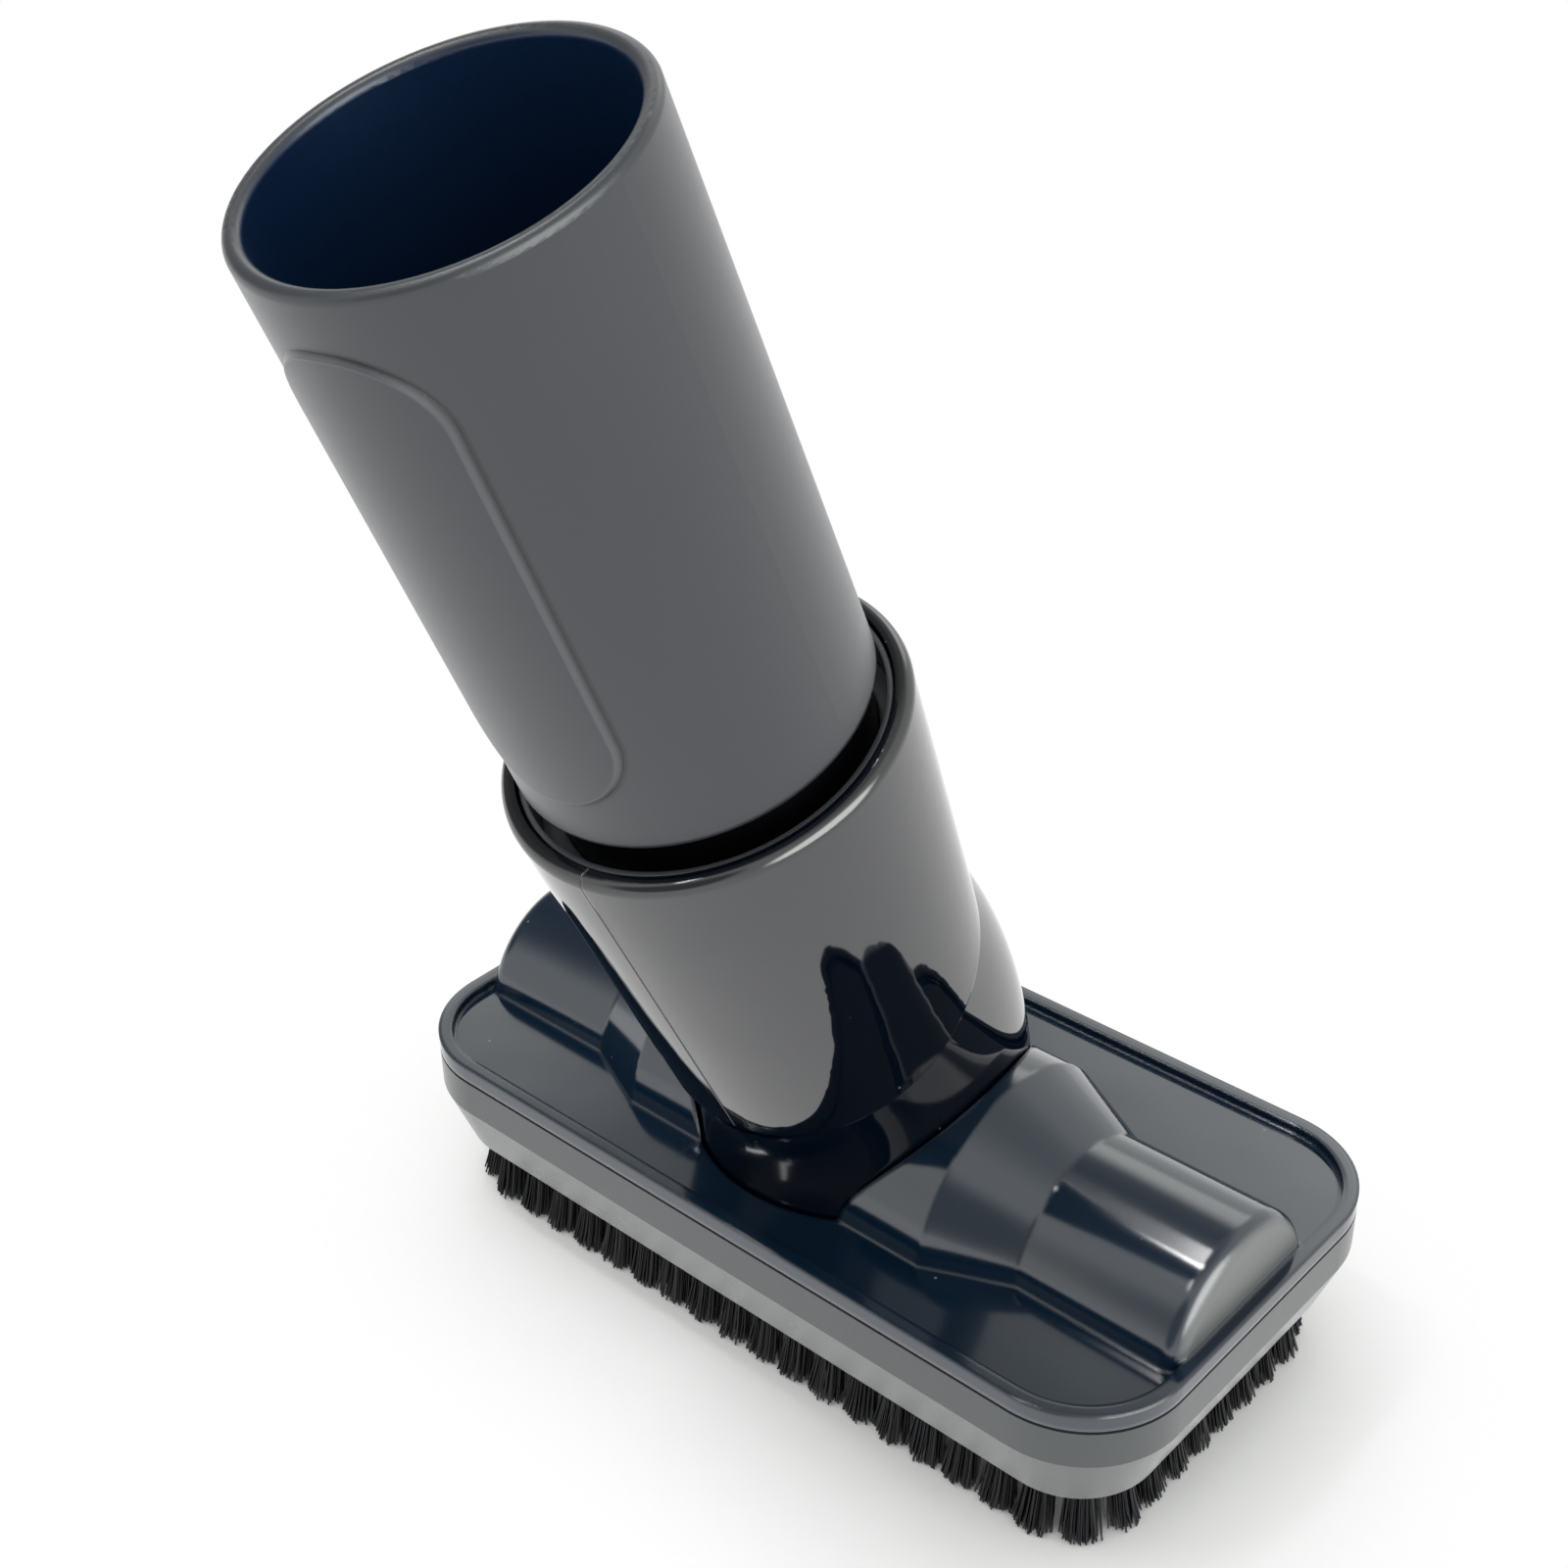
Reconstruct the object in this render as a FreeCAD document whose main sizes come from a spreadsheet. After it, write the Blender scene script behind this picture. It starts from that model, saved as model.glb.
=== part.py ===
import FreeCAD, Part
import math
import os
import Sketcher
from FreeCAD import Placement, Rotation, Vector

# Vacuum dusting brush: a bristle head with a humped cover, a fixed elbow, a collar that turns on the
# elbow's oblique seam, and a hose tube that swivels in the collar.
# Own frame: millimetres, Z up, X along the head, the tube leans towards -Y. The origin is the centre
# of the bristle face, so z = 0 is the floor the bristle tips stand on.

doc = FreeCAD.newDocument("dusting_brush")
sheet = doc.addObject("Spreadsheet::Sheet", "sizes")

# Driving sizes, in millimetres and degrees
SIZES = [
    ("head_length", "110.8", "head along X"),
    ("head_width", "59", "head along Y"),
    ("corner_radius", "13", "outer corner of the head in plan"),
    ("groove_height", "22", "parting groove above the bristle tips"),
    ("groove_gap", "0.4", "visible gap between the cover's rim and the skirt"),
    ("seat_gap", "0.05", "play between faces that are clamped together"),
    ("part_gap", "0.3", "play between pieces that drop into one another"),
    ("running_gap", "0.08", "radial play of a turning fit"),
    ("skirt_wall", "1.8", "wall of the skirt"),
    ("skirt_band", "4.8", "upright band of the skirt"),
    ("skirt_slope", "8", "height of the inward slope under the band"),
    ("skirt_inset", "3", "how far the slope runs inwards"),
    ("ledge_height", "1.4", "ledge inside the skirt that rests on the carrier"),
    ("ledge_reach", "2.4", "how far the ledge reaches over the carrier"),
    ("rim_height", "1", "cover's rim under the flange's top"),
    ("bead_height", "1.1", "bead round the cover's edge"),
    ("bead_width", "1.8", "bead round the cover's edge"),
    ("cover_wall", "2.2", "wall of the cover"),
    ("hump_offset", "-2", "hump and neck centre along Y"),
    ("hump_sink", "2.8", "hump axis below the flange's top"),
    ("hump_radius", "18", "middle of the hump"),
    ("hump_end_radius", "13.6", "ends of the hump"),
    ("hump_shoulder", "22.5", "half length of the thick middle"),
    ("hump_taper", "10", "length of each conical step"),
    ("hump_end_round", "2", "rounding of the D-shaped end walls"),
    ("elbow_radius", "20.4", "outside of the elbow"),
    ("elbow_wall", "2.4", "wall of the elbow"),
    ("bend_radius", "40", "centre line of the elbow"),
    ("bend_rise", "1.4", "start of the bend above the cover's flange"),
    ("seam_tilt", "40", "oblique seam from level, degrees"),
    ("tube_lean", "21.7", "tube from upright, degrees"),
    ("collar_turn", "6.6", "collar turned about the seam, degrees"),
    ("elbow_flange_reach", "2.8", "elbow's flange beyond its neck"),
    ("elbow_flange_height", "1.6", "elbow's flange"),
    ("keeper_reach", "6.8", "keeper plate beyond the elbow's flange, along X"),
    ("keeper_room", "1.5", "keeper plate from the skirt's wall, along Y"),
    ("keeper_height", "2", "keeper plate"),
    ("keeper_screw_end", "4", "keeper screws from the plate's ends"),
    ("keeper_screw_side", "3.2", "keeper screws from the plate's sides"),
    ("seam_gap", "0.3", "gap between elbow and collar at the seam"),
    ("seam_radius", "20.7", "collar's outside at the seam"),
    ("spigot_radius", "16.9", "elbow's spigot inside the collar"),
    ("spigot_wall", "1.9", "wall of the elbow's spigot"),
    ("spigot_length", "6", "spigot beyond the seam"),
    ("snap_height", "1.2", "snap ring"),
    ("snap_depth", "0.8", "snap ring's groove in the spigot"),
    ("snap_reach", "0.8", "snap ring beyond the spigot"),
    ("seam_ledge", "3", "collar's ledge over the seam"),
    ("seal_inner", "18.5", "groove of the oblique seal"),
    ("seal_width", "1.2", "groove of the oblique seal"),
    ("seal_depth", "0.8", "groove of the oblique seal"),
    ("collar_length", "40", "seam centre to the collar's ring plane"),
    ("collar_radius", "22.2", "collar's outside at the ring plane"),
    ("collar_wall", "2.2", "wall of the collar"),
    ("collar_lip_round", "1.3", "bevel of the collar's lip"),
    ("half_gap", "0.1", "parting gap between the collar's halves"),
    ("mouth_radius", "20.4", "inside of the collar's lip"),
    ("mouth_depth", "7", "retainer's seat below the ring plane"),
    ("retainer_wall", "0.6", "rim of the retainer"),
    ("retainer_drop", "0.4", "rim of the retainer below the ring plane"),
    ("retainer_web", "1.5", "web of the retainer"),
    ("flange_room", "3.15", "room for the tube's flange under the retainer"),
    ("flange_radius", "19.1", "tube's flange inside the collar"),
    ("flange_height", "2.1", "tube's flange inside the collar"),
    ("ring_height", "0.6", "low-friction ring under the flange"),
    ("collar_ledge", "2.8", "ledge that carries the ring"),
    ("tube_radius", "19.4", "outside of the tube"),
    ("tube_bore", "17.5", "inside of the tube, for a 35 mm hose end"),
    ("tube_reach", "68.3", "ring plane to the tube's mouth"),
    ("shoulder_gap", "2.3", "tube's shoulder above the ring plane"),
    ("shoulder_round", "1.2", "rounding of the tube's shoulder"),
    ("lip_round", "0.9", "rolled lip of the tube"),
    ("neck_radius", "17.35", "tube's swivel neck"),
    ("neck_bore", "15.6", "inside of the swivel neck"),
    ("neck_tail", "3.5", "swivel neck below the tube's flange"),
    ("hose_stop", "2", "step inside the bore above the shoulder"),
    ("panel_top", "5.5", "panel's top end below the mouth"),
    ("panel_length", "54", "panel along the tube"),
    ("panel_width", "18.6", "panel across the tube"),
    ("panel_corner", "8.6", "panel's rounded corners"),
    ("panel_raise", "0.45", "panel above the tube"),
    ("panel_slant", "0.5", "width of the panel's bevel"),
    ("carrier_height", "3", "tuft carrier"),
    ("opening_end_room", "11.4", "suction opening from the end tuft rows"),
    ("opening_side_room", "8.5", "suction opening from the side tuft rows"),
    ("opening_corner", "6", "suction opening's corners"),
    ("post_end_room", "5.6", "carrier screws from the end tuft rows"),
    ("post_side_room", "5", "carrier screws from the side tuft rows"),
    ("post_radius", "3", "screw posts under the cover"),
    ("screw_radius", "1.2", "screw shank"),
    ("screw_head_radius", "2.3", "screw head"),
    ("screw_head_height", "1.3", "screw head"),
    ("keeper_screw_length", "4.8", "keeper screw under its head"),
    ("carrier_screw_length", "10", "carrier screw under its head"),
    ("tuft_inset", "7", "tuft row from the head's outline"),
    ("tuft_pitch", "4.9", "spacing of the tufts"),
    ("tuft_root", "1.25", "tuft at its root"),
    ("tuft_depth", "2", "root inside the carrier"),
    ("tuft_tip", "2", "tuft's half width at its tip"),
    ("tuft_splay", "1.2", "how far a tip stands outside its root"),
]
for row, (alias, value, note) in enumerate(SIZES, start=1):
    sheet.set("A%d" % row, alias)
    sheet.set("B%d" % row, value)
    sheet.setAlias("B%d" % row, alias)
    sheet.set("C%d" % row, note)

# Sizes that follow from the driving ones
DERIVED = [
    ("skirt_top", "=groove_height - groove_gap / 2"),
    ("skirt_bend", "=skirt_top - skirt_band"),
    ("skirt_foot", "=skirt_bend - skirt_slope"),
    ("carrier_top", "=skirt_foot + carrier_height"),
    ("rim_foot", "=groove_height + groove_gap / 2"),
    ("flange_top", "=rim_foot + rim_height"),
    ("plate_foot", "=flange_top - cover_wall"),
    ("lid_inset", "=skirt_wall + part_gap"),
    ("hump_height", "=flange_top - hump_sink"),
    ("hump_end", "=head_length / 2 - bead_width"),
    ("bend_height", "=flange_top + bend_rise"),
    ("elbow_flange_foot", "=plate_foot - seat_gap - elbow_flange_height"),
    ("keeper_top", "=elbow_flange_foot - seat_gap"),
    ("keeper_length", "=2 * (elbow_radius + elbow_flange_reach + keeper_reach)"),
    ("keeper_width", "=head_width - 2 * (skirt_wall + keeper_room)"),
    ("keeper_screw_x", "=keeper_length / 2 - keeper_screw_end"),
    ("keeper_screw_y", "=keeper_width / 2 - keeper_screw_side"),
    ("wedge", "=seam_tilt - tube_lean"),
    ("ledge_bore", "=spigot_radius + running_gap"),
    ("snap_foot", "=seam_gap / 2 + seam_ledge + seat_gap"),
    ("retainer_foot", "=collar_length - mouth_depth + seat_gap"),
    ("retainer_radius", "=mouth_radius - part_gap"),
    ("room_foot", "=collar_length - mouth_depth - flange_room"),
    ("room_radius", "=flange_radius + part_gap + seat_gap"),
    ("cavity_top", "=room_foot - collar_ledge"),
    ("swivel_bore", "=neck_radius + running_gap"),
    ("flange_foot", "=room_foot + seat_gap + ring_height + seat_gap"),
    ("shoulder_height", "=collar_length + shoulder_gap"),
    ("mouth_height", "=collar_length + tube_reach"),
    ("tuft_top", "=skirt_foot + tuft_depth"),
    ("opening_length", "=head_length - 2 * (tuft_inset + opening_end_room)"),
    ("opening_width", "=head_width - 2 * (tuft_inset + opening_side_room)"),
    ("post_x", "=head_length / 2 - tuft_inset - post_end_room"),
    ("post_y", "=head_width / 2 - tuft_inset - post_side_room"),
]
for row, (alias, formula) in enumerate(DERIVED, start=len(SIZES) + 1):
    sheet.set("A%d" % row, alias)
    sheet.set("B%d" % row, formula)
    sheet.setAlias("B%d" % row, alias)
doc.recompute()


def size(text):
    """Value of an expression on the sheet's sizes, such as 'sizes.head_length / 2'."""
    value = sheet.evalExpression(text)
    return float(getattr(value, "Value", value))


def cylinder(name, radius, height, low, at_x="0", at_y="0"):
    """Upright cylinder whose base is at height low."""
    solid = doc.addObject("Part::Cylinder", name)
    solid.setExpression("Radius", radius)
    solid.setExpression("Height", height)
    solid.setExpression("Placement.Base.x", at_x)
    solid.setExpression("Placement.Base.y", at_y)
    solid.setExpression("Placement.Base.z", low)
    return solid


def cut(name, base, tool):
    """Base without the tool."""
    result = doc.addObject("Part::Cut", name)
    result.Base = base
    result.Tool = tool
    return result


def fuse(name, shapes):
    """One solid out of several that meet."""
    result = doc.addObject("Part::MultiFuse", name)
    result.Shapes = shapes
    return result


def common(name, first, second):
    """What two solids share."""
    result = doc.addObject("Part::Common", name)
    result.Base = first
    result.Tool = second
    return result


def tube_ring(name, outer, inner, height, low, at_y="0"):
    """Upright ring whose base is at height low."""
    over = "sizes.part_gap"
    body = cylinder(name + "_disc", outer, height, low, at_y=at_y)
    hole = cylinder(name + "_hole", inner, height + " + 2 * " + over, low + " - " + over, at_y=at_y)
    return cut(name, body, hole)


def origin_plane(body, role):
    """Origin plane of a body, such as XY_Plane."""
    return [plane for plane in body.Origin.OriginFeatures if plane.Role == role][0]


def rounded_sketch(body, name, role, low, length, width, corner, middle="0"):
    """Rounded rectangle on an origin plane; every size is an expression."""
    sketch = body.newObject("Sketcher::SketchObject", name)
    sketch.AttachmentSupport = [(origin_plane(body, role), "")]
    sketch.MapMode = "FlatFace"
    sketch.setExpression("AttachmentOffset.Base.z", low)
    sketch.setExpression("AttachmentOffset.Base.y", middle)
    a = size(length) / 2
    b = size(width) / 2
    r = size(corner)
    up = Vector(0, 0, 1)
    quarter = math.pi / 2
    sketch.addGeometry([
        Part.LineSegment(Vector(r - a, -b, 0), Vector(a - r, -b, 0)),
        Part.LineSegment(Vector(a, r - b, 0), Vector(a, b - r, 0)),
        Part.LineSegment(Vector(a - r, b, 0), Vector(r - a, b, 0)),
        Part.LineSegment(Vector(-a, b - r, 0), Vector(-a, r - b, 0)),
        Part.ArcOfCircle(Part.Circle(Vector(a - r, r - b, 0), up, r), -quarter, 0),
        Part.ArcOfCircle(Part.Circle(Vector(a - r, b - r, 0), up, r), 0, quarter),
        Part.ArcOfCircle(Part.Circle(Vector(r - a, b - r, 0), up, r), quarter, 2 * quarter),
        Part.ArcOfCircle(Part.Circle(Vector(r - a, r - b, 0), up, r), 2 * quarter, 3 * quarter),
    ], False)
    for side, arc in ((0, 4), (1, 5), (2, 6), (3, 7)):
        sketch.addConstraint(Sketcher.Constraint("Tangent", side, 2, arc, 1))
        sketch.addConstraint(Sketcher.Constraint("Tangent", arc, 2, (side + 1) % 4, 1))
    sketch.addConstraint(Sketcher.Constraint("Horizontal", 0))
    sketch.addConstraint(Sketcher.Constraint("Vertical", 1))
    sketch.addConstraint(Sketcher.Constraint("Horizontal", 2))
    sketch.addConstraint(Sketcher.Constraint("Vertical", 3))
    for arc in (5, 6, 7):
        sketch.addConstraint(Sketcher.Constraint("Equal", 4, arc))
    sketch.addConstraint(Sketcher.Constraint("Symmetric", 4, 3, 6, 3, -1, 1))
    for label, kind, ends, text, value in (
            ("length", "DistanceX", (3, 1, 1, 1), length, 2 * a),
            ("width", "DistanceY", (0, 1, 2, 1), width, 2 * b),
            ("corner", "Radius", (4,), corner, r)):
        index = sketch.addConstraint(Sketcher.Constraint(kind, *ends, value))
        sketch.renameConstraint(index, label)
        sketch.setExpression("Constraints." + label, text)
    return sketch


def rounded_block(name, low, height, length, width, corner, middle="0"):
    """Upright block with a rounded rectangular plan, centred at y = middle."""
    body = doc.addObject("PartDesign::Body", name)
    sketch = rounded_sketch(body, name + "_plan", "XY_Plane", low, length, width, corner, middle)
    pad = body.newObject("PartDesign::Pad", name + "_pad")
    pad.Profile = sketch
    pad.setExpression("Length", height)
    body.Tip = pad
    return body


def rounded_loft(name, low, high, inset_low, inset_high):
    """Straight-sided block between two rounded plans, each set in from the head's outline."""
    body = doc.addObject("PartDesign::Body", name)
    plans = []
    for end, level, inset in (("low", low, inset_low), ("high", high, inset_high)):
        plans.append(rounded_sketch(
            body, name + "_" + end, "XY_Plane", level,
            "sizes.head_length - 2 * (" + inset + ")",
            "sizes.head_width - 2 * (" + inset + ")",
            "sizes.corner_radius - (" + inset + ")"))
    loft = body.newObject("PartDesign::AdditiveLoft", name + "_loft")
    loft.Profile = plans[0]
    loft.Sections = [plans[1]]
    loft.Ruled = True
    body.Tip = loft
    return body


def screw(name, shank_length, under_head, at_x, at_y):
    """Pan-head screw that points up; under_head is the height of its seat."""
    head = cylinder(name + "_head", "sizes.screw_head_radius", "sizes.screw_head_height",
                    under_head + " - sizes.screw_head_height", at_x, at_y)
    shank = cylinder(name + "_shank", "sizes.screw_radius", shank_length, under_head, at_x, at_y)
    return fuse(name, [head, shank])


def compound(name, shapes):
    """Several like pieces in one node."""
    result = doc.addObject("Part::Compound", name)
    result.Links = shapes
    return result


def placed(name, solid, place):
    """A solid moved from its own axis into place."""
    result = compound(name, [solid])
    result.Placement = place
    return result


def part_round(name, base, choices):
    """Rounding on a solid's edges; choices are pairs of a test and a radius."""
    doc.recompute()
    picked = []
    for index, edge in enumerate(base.Shape.Edges, start=1):
        for chosen, radius in choices:
            if chosen(edge):
                picked.append((index, size(radius), size(radius)))
    result = doc.addObject("Part::Fillet", name)
    result.Base = base
    result.Edges = picked
    return result


def ring_at(height, radius):
    """Test for an edge that is a level circle of that radius at that height."""
    def test(edge):
        level = edge.BoundBox.ZLength < 0.01 and abs(edge.BoundBox.ZMin - size(height)) < 0.01
        return level and abs(edge.Length - 2 * math.pi * size(radius)) < 0.05
    return test


# Skirt: upright band, slope inwards, and an inner ledge that the carrier holds up
skirt_band_outer = rounded_block(
    "skirt_band_outer", "sizes.skirt_bend", "sizes.skirt_band",
    "sizes.head_length", "sizes.head_width", "sizes.corner_radius")
skirt_slope_outer = rounded_loft(
    "skirt_slope_outer", "sizes.skirt_foot", "sizes.skirt_bend", "sizes.skirt_inset", "0")
skirt_outer = fuse("skirt_outer", [skirt_band_outer, skirt_slope_outer])
skirt_room_top = rounded_block(
    "skirt_room_top", "sizes.skirt_bend", "sizes.skirt_band + sizes.part_gap",
    "sizes.head_length - 2 * sizes.skirt_wall", "sizes.head_width - 2 * sizes.skirt_wall",
    "sizes.corner_radius - sizes.skirt_wall")
skirt_room_slope = rounded_loft(
    "skirt_room_slope", "sizes.carrier_top + sizes.ledge_height", "sizes.skirt_bend",
    "sizes.skirt_wall + sizes.skirt_inset * (1 - (sizes.carrier_height + sizes.ledge_height) / sizes.skirt_slope)",
    "sizes.skirt_wall")
skirt_ledge_hole = rounded_block(
    "skirt_ledge_hole", "sizes.carrier_top", "sizes.ledge_height + sizes.part_gap",
    "sizes.head_length - 2 * (sizes.skirt_wall + sizes.skirt_inset + sizes.ledge_reach)",
    "sizes.head_width - 2 * (sizes.skirt_wall + sizes.skirt_inset + sizes.ledge_reach)",
    "sizes.corner_radius - sizes.skirt_wall - sizes.skirt_inset - sizes.ledge_reach")
skirt_carrier_room = rounded_block(
    "skirt_carrier_room", "sizes.skirt_foot - sizes.part_gap",
    "sizes.carrier_height + sizes.part_gap + sizes.seat_gap",
    "sizes.head_length - 2 * (sizes.skirt_wall + sizes.skirt_inset)",
    "sizes.head_width - 2 * (sizes.skirt_wall + sizes.skirt_inset)",
    "sizes.corner_radius - sizes.skirt_wall - sizes.skirt_inset")
skirt_room = fuse("skirt_room",
                  [skirt_room_top, skirt_room_slope, skirt_ledge_hole, skirt_carrier_room])
skirt_frame = cut("skirt_frame", skirt_outer, skirt_room)

# Cover: rim, plug plate, edge bead and the hump, with posts and bosses for the screws
cover_rim = rounded_block(
    "cover_rim", "sizes.rim_foot", "sizes.rim_height + sizes.bead_height",
    "sizes.head_length", "sizes.head_width", "sizes.corner_radius")
cover_dish = rounded_block(
    "cover_dish", "sizes.flange_top", "sizes.bead_height + sizes.part_gap",
    "sizes.head_length - 2 * sizes.bead_width", "sizes.head_width - 2 * sizes.bead_width",
    "sizes.corner_radius - sizes.bead_width")
cover_edge = cut("cover_edge", cover_rim, cover_dish)
cover_plug = rounded_block(
    "cover_plug", "sizes.plate_foot", "sizes.cover_wall",
    "sizes.head_length - 2 * sizes.lid_inset", "sizes.head_width - 2 * sizes.lid_inset",
    "sizes.corner_radius - sizes.lid_inset")


def ring_about_x(edge, distance):
    """Whether an edge is a ring about the X axis at that distance from the middle."""
    flat = edge.BoundBox.XLength < 0.01
    return flat and abs(abs(edge.CenterOfMass.x) - size(distance)) < 0.01


def body_round(body, base, name, radius, chosen):
    """Rounding on the edges of a body's feature that a test picks."""
    rounding = body.newObject("PartDesign::Fillet", name)
    edges = enumerate(base.Shape.Edges, start=1)
    rounding.Base = (base, ["Edge%d" % index for index, edge in edges if chosen(edge)])
    rounding.setExpression("Radius", radius)
    body.Tip = rounding
    doc.recompute()
    return rounding


def hump_solid(name, inset, rounded):
    """Stepped round bar along X; inset makes the inner form."""
    body = doc.addObject("PartDesign::Body", name)
    sketch = body.newObject("Sketcher::SketchObject", name + "_profile")
    sketch.AttachmentSupport = [(origin_plane(body, "XY_Plane"), "")]
    sketch.MapMode = "FlatFace"
    sketch.setExpression("AttachmentOffset.Base.y", "sizes.hump_offset")
    sketch.setExpression("AttachmentOffset.Base.z", "sizes.hump_height")
    far_x = "sizes.hump_end - " + inset
    thin = "sizes.hump_end_radius - " + inset
    thick = "sizes.hump_radius - " + inset
    step = "sizes.hump_shoulder + sizes.hump_taper"
    points = [
        ("-(" + far_x + ")", "0"),
        (far_x, "0"),
        (far_x, thin),
        (step, thin),
        ("sizes.hump_shoulder", thick),
        ("-sizes.hump_shoulder", thick),
        ("-(" + step + ")", thin),
        ("-(" + far_x + ")", thin),
    ]
    spots = [Vector(size(x), size(y), 0) for x, y in points]
    for index, spot in enumerate(spots):
        sketch.addGeometry(Part.LineSegment(spot, spots[(index + 1) % len(spots)]), False)
    for index in range(len(spots)):
        sketch.addConstraint(
            Sketcher.Constraint("Coincident", index, 2, (index + 1) % len(spots), 1))
    for index, (x, y) in enumerate(points):
        for label, kind, text in (("x", "DistanceX", x), ("y", "DistanceY", y)):
            spot = sketch.addConstraint(
                Sketcher.Constraint(kind, -1, 1, index, 1, size(text)))
            title = label + str(index)
            sketch.renameConstraint(spot, title)
            if text != "0":
                sketch.setExpression("Constraints." + title, text)
    turned = body.newObject("PartDesign::Revolution", name + "_bar")
    turned.Profile = sketch
    turned.ReferenceAxis = (sketch, ["H_Axis"])
    turned.Angle = 360
    body.Tip = turned
    doc.recompute()
    if rounded:
        body_round(body, turned, name + "_ends", "sizes.hump_end_round",
                   lambda edge: ring_about_x(edge, "sizes.hump_end"))
    return body


hump_outer = hump_solid("hump_outer", "0", True)
hump_inner = hump_solid("hump_inner", "sizes.cover_wall", False)
hump_half = doc.addObject("Part::Box", "hump_half")
hump_half.setExpression("Length", "sizes.head_length")
hump_half.setExpression("Width", "sizes.head_width")
hump_half.setExpression("Height", "2 * sizes.hump_radius")
hump_half.setExpression("Placement.Base.x", "-sizes.head_length / 2")
hump_half.setExpression("Placement.Base.y", "-sizes.head_width / 2")
hump_half.setExpression("Placement.Base.z", "sizes.plate_foot")
hump_top = common("hump_top", hump_outer, hump_half)

bend_turn = Rotation(Vector(1, 1, 1), 120)


def bend(name, radius):
    """Bent bar from the neck's axis to the seam's centre."""
    bar = doc.addObject("Part::Torus", name)
    bar.setExpression("Radius1", "sizes.bend_radius")
    bar.setExpression("Radius2", radius)
    bar.setExpression("Angle3", "sizes.seam_tilt")
    bar.Placement = Placement(Vector(0, 0, 0), bend_turn)
    bar.setExpression("Placement.Base.y", "sizes.hump_offset - sizes.bend_radius")
    bar.setExpression("Placement.Base.z", "sizes.bend_height")
    return bar


posts = []
for index, (sx, sy) in enumerate(((-1, -1), (1, -1), (-1, 1), (1, 1)), start=1):
    posts.append(cylinder(
        "carrier_post_%d" % index, "sizes.post_radius",
        "sizes.flange_top - sizes.carrier_top - sizes.seat_gap - sizes.rim_height",
        "sizes.carrier_top + sizes.seat_gap", "%d * sizes.post_x" % sx, "%d * sizes.post_y" % sy))
    posts.append(cylinder(
        "keeper_boss_%d" % index, "sizes.post_radius",
        "sizes.flange_top - sizes.keeper_top - sizes.seat_gap - sizes.rim_height",
        "sizes.keeper_top + sizes.seat_gap", "%d * sizes.keeper_screw_x" % sx,
        "%d * sizes.keeper_screw_y" % sy))
cover_solid = fuse("cover_solid", [cover_edge, cover_plug, hump_top] + posts)
neck_hole_radius = "sizes.elbow_radius + sizes.part_gap"
cover_holes = [hump_inner, bend("neck_way", neck_hole_radius), cylinder(
    "neck_hole", neck_hole_radius, "sizes.bend_height - sizes.plate_foot + sizes.part_gap",
    "sizes.plate_foot - sizes.part_gap", at_y="sizes.hump_offset")]
for index, (sx, sy) in enumerate(((-1, -1), (1, -1), (-1, 1), (1, 1)), start=1):
    cover_holes.append(cylinder(
        "carrier_pilot_%d" % index, "sizes.screw_radius + sizes.seat_gap",
        "sizes.carrier_screw_length - sizes.carrier_height + sizes.part_gap",
        "sizes.carrier_top", "%d * sizes.post_x" % sx, "%d * sizes.post_y" % sy))
    cover_holes.append(cylinder(
        "keeper_pilot_%d" % index, "sizes.screw_radius + sizes.seat_gap",
        "sizes.keeper_screw_length - sizes.keeper_height + sizes.part_gap",
        "sizes.keeper_top", "%d * sizes.keeper_screw_x" % sx,
        "%d * sizes.keeper_screw_y" % sy))
cover_hollow = fuse("cover_hollow", cover_holes)
top_cover = cut("top_cover", cover_solid, cover_hollow)

# Elbow: neck with a flange under the cover, a bend, and an oblique spigot that carries the collar
lean_by = math.radians(size("sizes.seam_tilt"))
seam_centre = Vector(
    0,
    size("sizes.hump_offset") - size("sizes.bend_radius") * (1 - math.cos(lean_by)),
    size("sizes.bend_height") + size("sizes.bend_radius") * math.sin(lean_by))
seam_place = Placement(seam_centre, Rotation(Vector(1, 0, 0), size("sizes.seam_tilt")))
collar_place = seam_place.multiply(Placement(
    Vector(0, 0, 0), Rotation(Vector(0, 0, 1), size("sizes.collar_turn")))).multiply(Placement(
        Vector(0, 0, 0), Rotation(Vector(1, 0, 0), -size("sizes.wedge"))))

elbow_flange_sides = doc.addObject("Part::Box", "elbow_flange_sides")
elbow_flange_sides.setExpression("Length", "sizes.keeper_length")
elbow_flange_sides.setExpression("Width", "sizes.keeper_width")
elbow_flange_sides.setExpression("Height", "sizes.elbow_flange_height")
elbow_flange_sides.setExpression("Placement.Base.x", "-sizes.keeper_length / 2")
elbow_flange_sides.setExpression("Placement.Base.y", "-sizes.keeper_width / 2")
elbow_flange_sides.setExpression("Placement.Base.z", "sizes.elbow_flange_foot")
elbow_flange_disc = cylinder(
    "elbow_flange_disc", "sizes.elbow_radius + sizes.elbow_flange_reach",
    "sizes.elbow_flange_height", "sizes.elbow_flange_foot", at_y="sizes.hump_offset")
elbow_outer = fuse("elbow_outer", [
    bend("elbow_bend", "sizes.elbow_radius"),
    cylinder("elbow_neck", "sizes.elbow_radius",
             "sizes.bend_height - sizes.elbow_flange_foot", "sizes.elbow_flange_foot",
             at_y="sizes.hump_offset"),
    common("elbow_flange", elbow_flange_disc, elbow_flange_sides)])
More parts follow.
